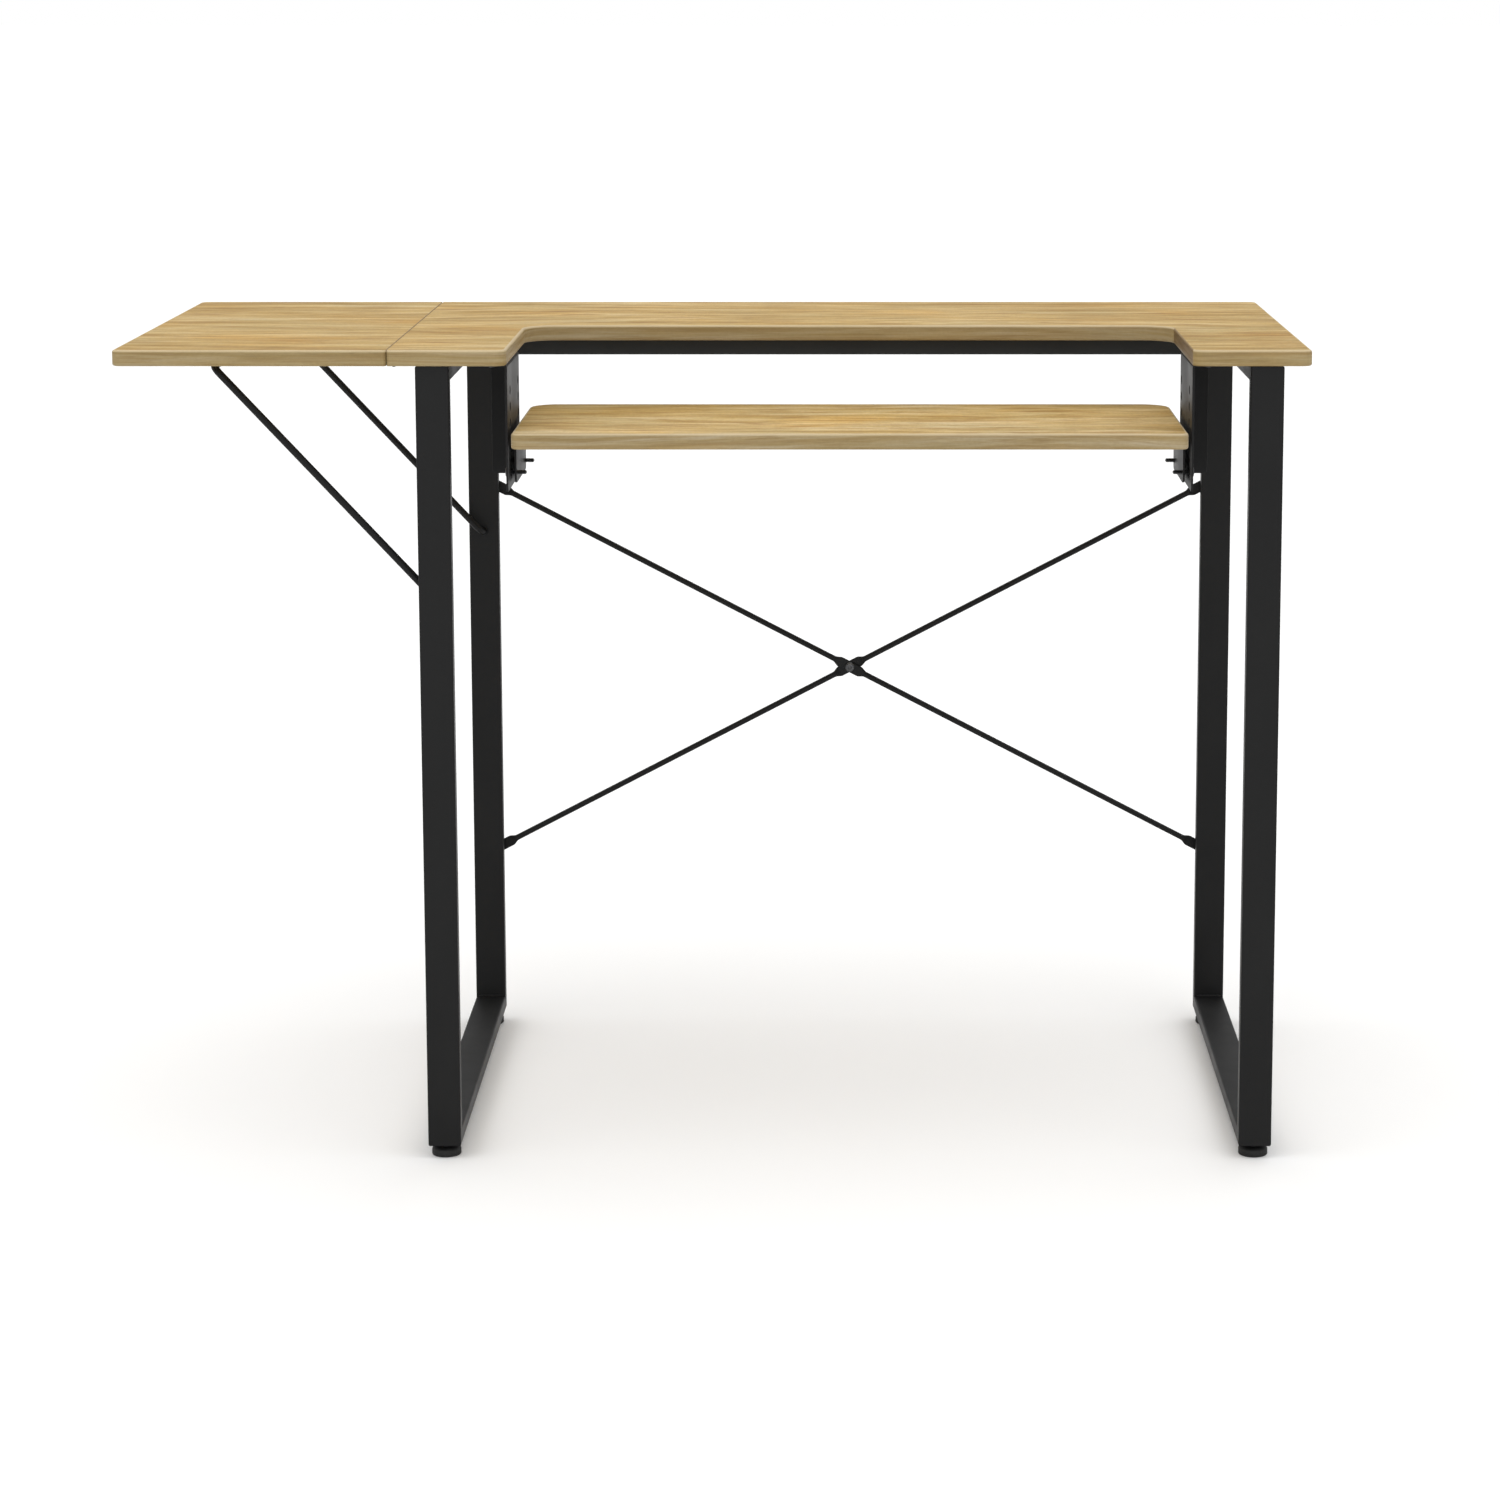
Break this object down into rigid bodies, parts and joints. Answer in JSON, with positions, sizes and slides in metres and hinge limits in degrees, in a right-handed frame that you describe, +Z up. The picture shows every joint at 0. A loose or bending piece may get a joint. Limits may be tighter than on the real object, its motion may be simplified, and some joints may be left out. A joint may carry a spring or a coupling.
{
  "type": "sewing desk with folding side leaf",
  "caption": "Straight sewing desk with a notched wooden top, a folding side leaf on a bent-rod prop, a height-adjustable machine platform and closed black steel side frames.",
  "frame": {"origin": "on the floor, at the middle of the whole desk's outline with the leaf raised", "axes": "+X to the sitter's right, away from the leaf; +Y away from the sitter; +Z up"},
  "size_m": [1.116, 0.5, 0.78],
  "materials": {
    "oak_board": "matt light oak grain",
    "powder_coated_steel": "fine black powder coat",
    "blackened_fasteners": "black zinc",
    "foot_pads": "matt moulded"
  },
  "bodies": {
    "frame": {"left_front_leg": "powder_coated_steel", "left_rear_leg": "powder_coated_steel", "left_top_rail": "powder_coated_steel", "left_bottom_rail": "powder_coated_steel", "right_front_leg": "powder_coated_steel", "right_rear_leg": "powder_coated_steel", "right_top_rail": "powder_coated_steel", "right_bottom_rail": "powder_coated_steel", "crossbar": "powder_coated_steel", "cross_rod_front": "powder_coated_steel", "cross_rod_rear": "powder_coated_steel", "front_hinge_fixed_plate": "powder_coated_steel", "rear_hinge_fixed_plate": "powder_coated_steel", "left_fixed_bracket": "powder_coated_steel", "right_fixed_bracket": "powder_coated_steel", "main_top": "oak_board", "cross_bolt": "blackened_fasteners", "cross_nut": "blackened_fasteners", "left_top_cross_screw": "blackened_fasteners", "left_bottom_cross_screw": "blackened_fasteners", "right_top_cross_screw": "blackened_fasteners", "right_bottom_cross_screw": "blackened_fasteners", "front_hinge_pin": "blackened_fasteners", "rear_hinge_pin": "blackened_fasteners", "front_left_foot_insert": "blackened_fasteners", "rear_left_foot_insert": "blackened_fasteners", "front_right_foot_insert": "blackened_fasteners", "rear_right_foot_insert": "blackened_fasteners"},
    "leaf": {"side_leaf": "oak_board", "front_hinge_leaf_plate": "powder_coated_steel", "rear_hinge_leaf_plate": "powder_coated_steel"},
    "brace": {"leaf_brace": "powder_coated_steel"},
    "platform": {"machine_platform": "oak_board", "left_carrier": "powder_coated_steel", "right_carrier": "powder_coated_steel", "left_front_screw_shank": "blackened_fasteners", "left_front_screw_head": "blackened_fasteners", "left_rear_screw_shank": "blackened_fasteners", "left_rear_screw_head": "blackened_fasteners", "right_front_screw_shank": "blackened_fasteners", "right_front_screw_head": "blackened_fasteners", "right_rear_screw_shank": "blackened_fasteners", "right_rear_screw_head": "blackened_fasteners"},
    "front_left_foot": {"front_left_foot_pad": "foot_pads", "front_left_foot_stem": "blackened_fasteners"},
    "rear_left_foot": {"rear_left_foot_pad": "foot_pads", "rear_left_foot_stem": "blackened_fasteners"},
    "front_right_foot": {"front_right_foot_pad": "foot_pads", "front_right_foot_stem": "blackened_fasteners"},
    "rear_right_foot": {"rear_right_foot_pad": "foot_pads", "rear_right_foot_stem": "blackened_fasteners"}
  },
  "joints": [
    {"name": "leaf_fold", "type": "hinge", "parent": "frame", "child": "leaf", "pos_m": [-0.3025, 0, 0.761], "axis": [0, -1, 0], "range_deg": [0, 90]},
    {"name": "brace_swing", "type": "hinge", "parent": "frame", "child": "brace", "pos_m": [-0.2607, 0, 0.5375], "axis": [0, -1, 0], "range_deg": [0, 137.2]},
    {"name": "platform_height", "type": "slide", "parent": "frame", "child": "platform", "axis": [0, 0, 1], "range_m": [0, 0.078]},
    {"name": "front_left_foot_screw", "type": "slide", "parent": "frame", "child": "front_left_foot", "axis": [0, 0, -1], "range_m": [0, 0.006]},
    {"name": "rear_left_foot_screw", "type": "slide", "parent": "frame", "child": "rear_left_foot", "axis": [0, 0, -1], "range_m": [0, 0.006]},
    {"name": "front_right_foot_screw", "type": "slide", "parent": "frame", "child": "front_right_foot", "axis": [0, 0, -1], "range_m": [0, 0.006]},
    {"name": "rear_right_foot_screw", "type": "slide", "parent": "frame", "child": "rear_right_foot", "axis": [0, 0, -1], "range_m": [0, 0.006]}
  ],
  "couplings": [
    {"joint": "brace_swing", "follows": "leaf_fold", "ratio": 1.5239}
  ]
}
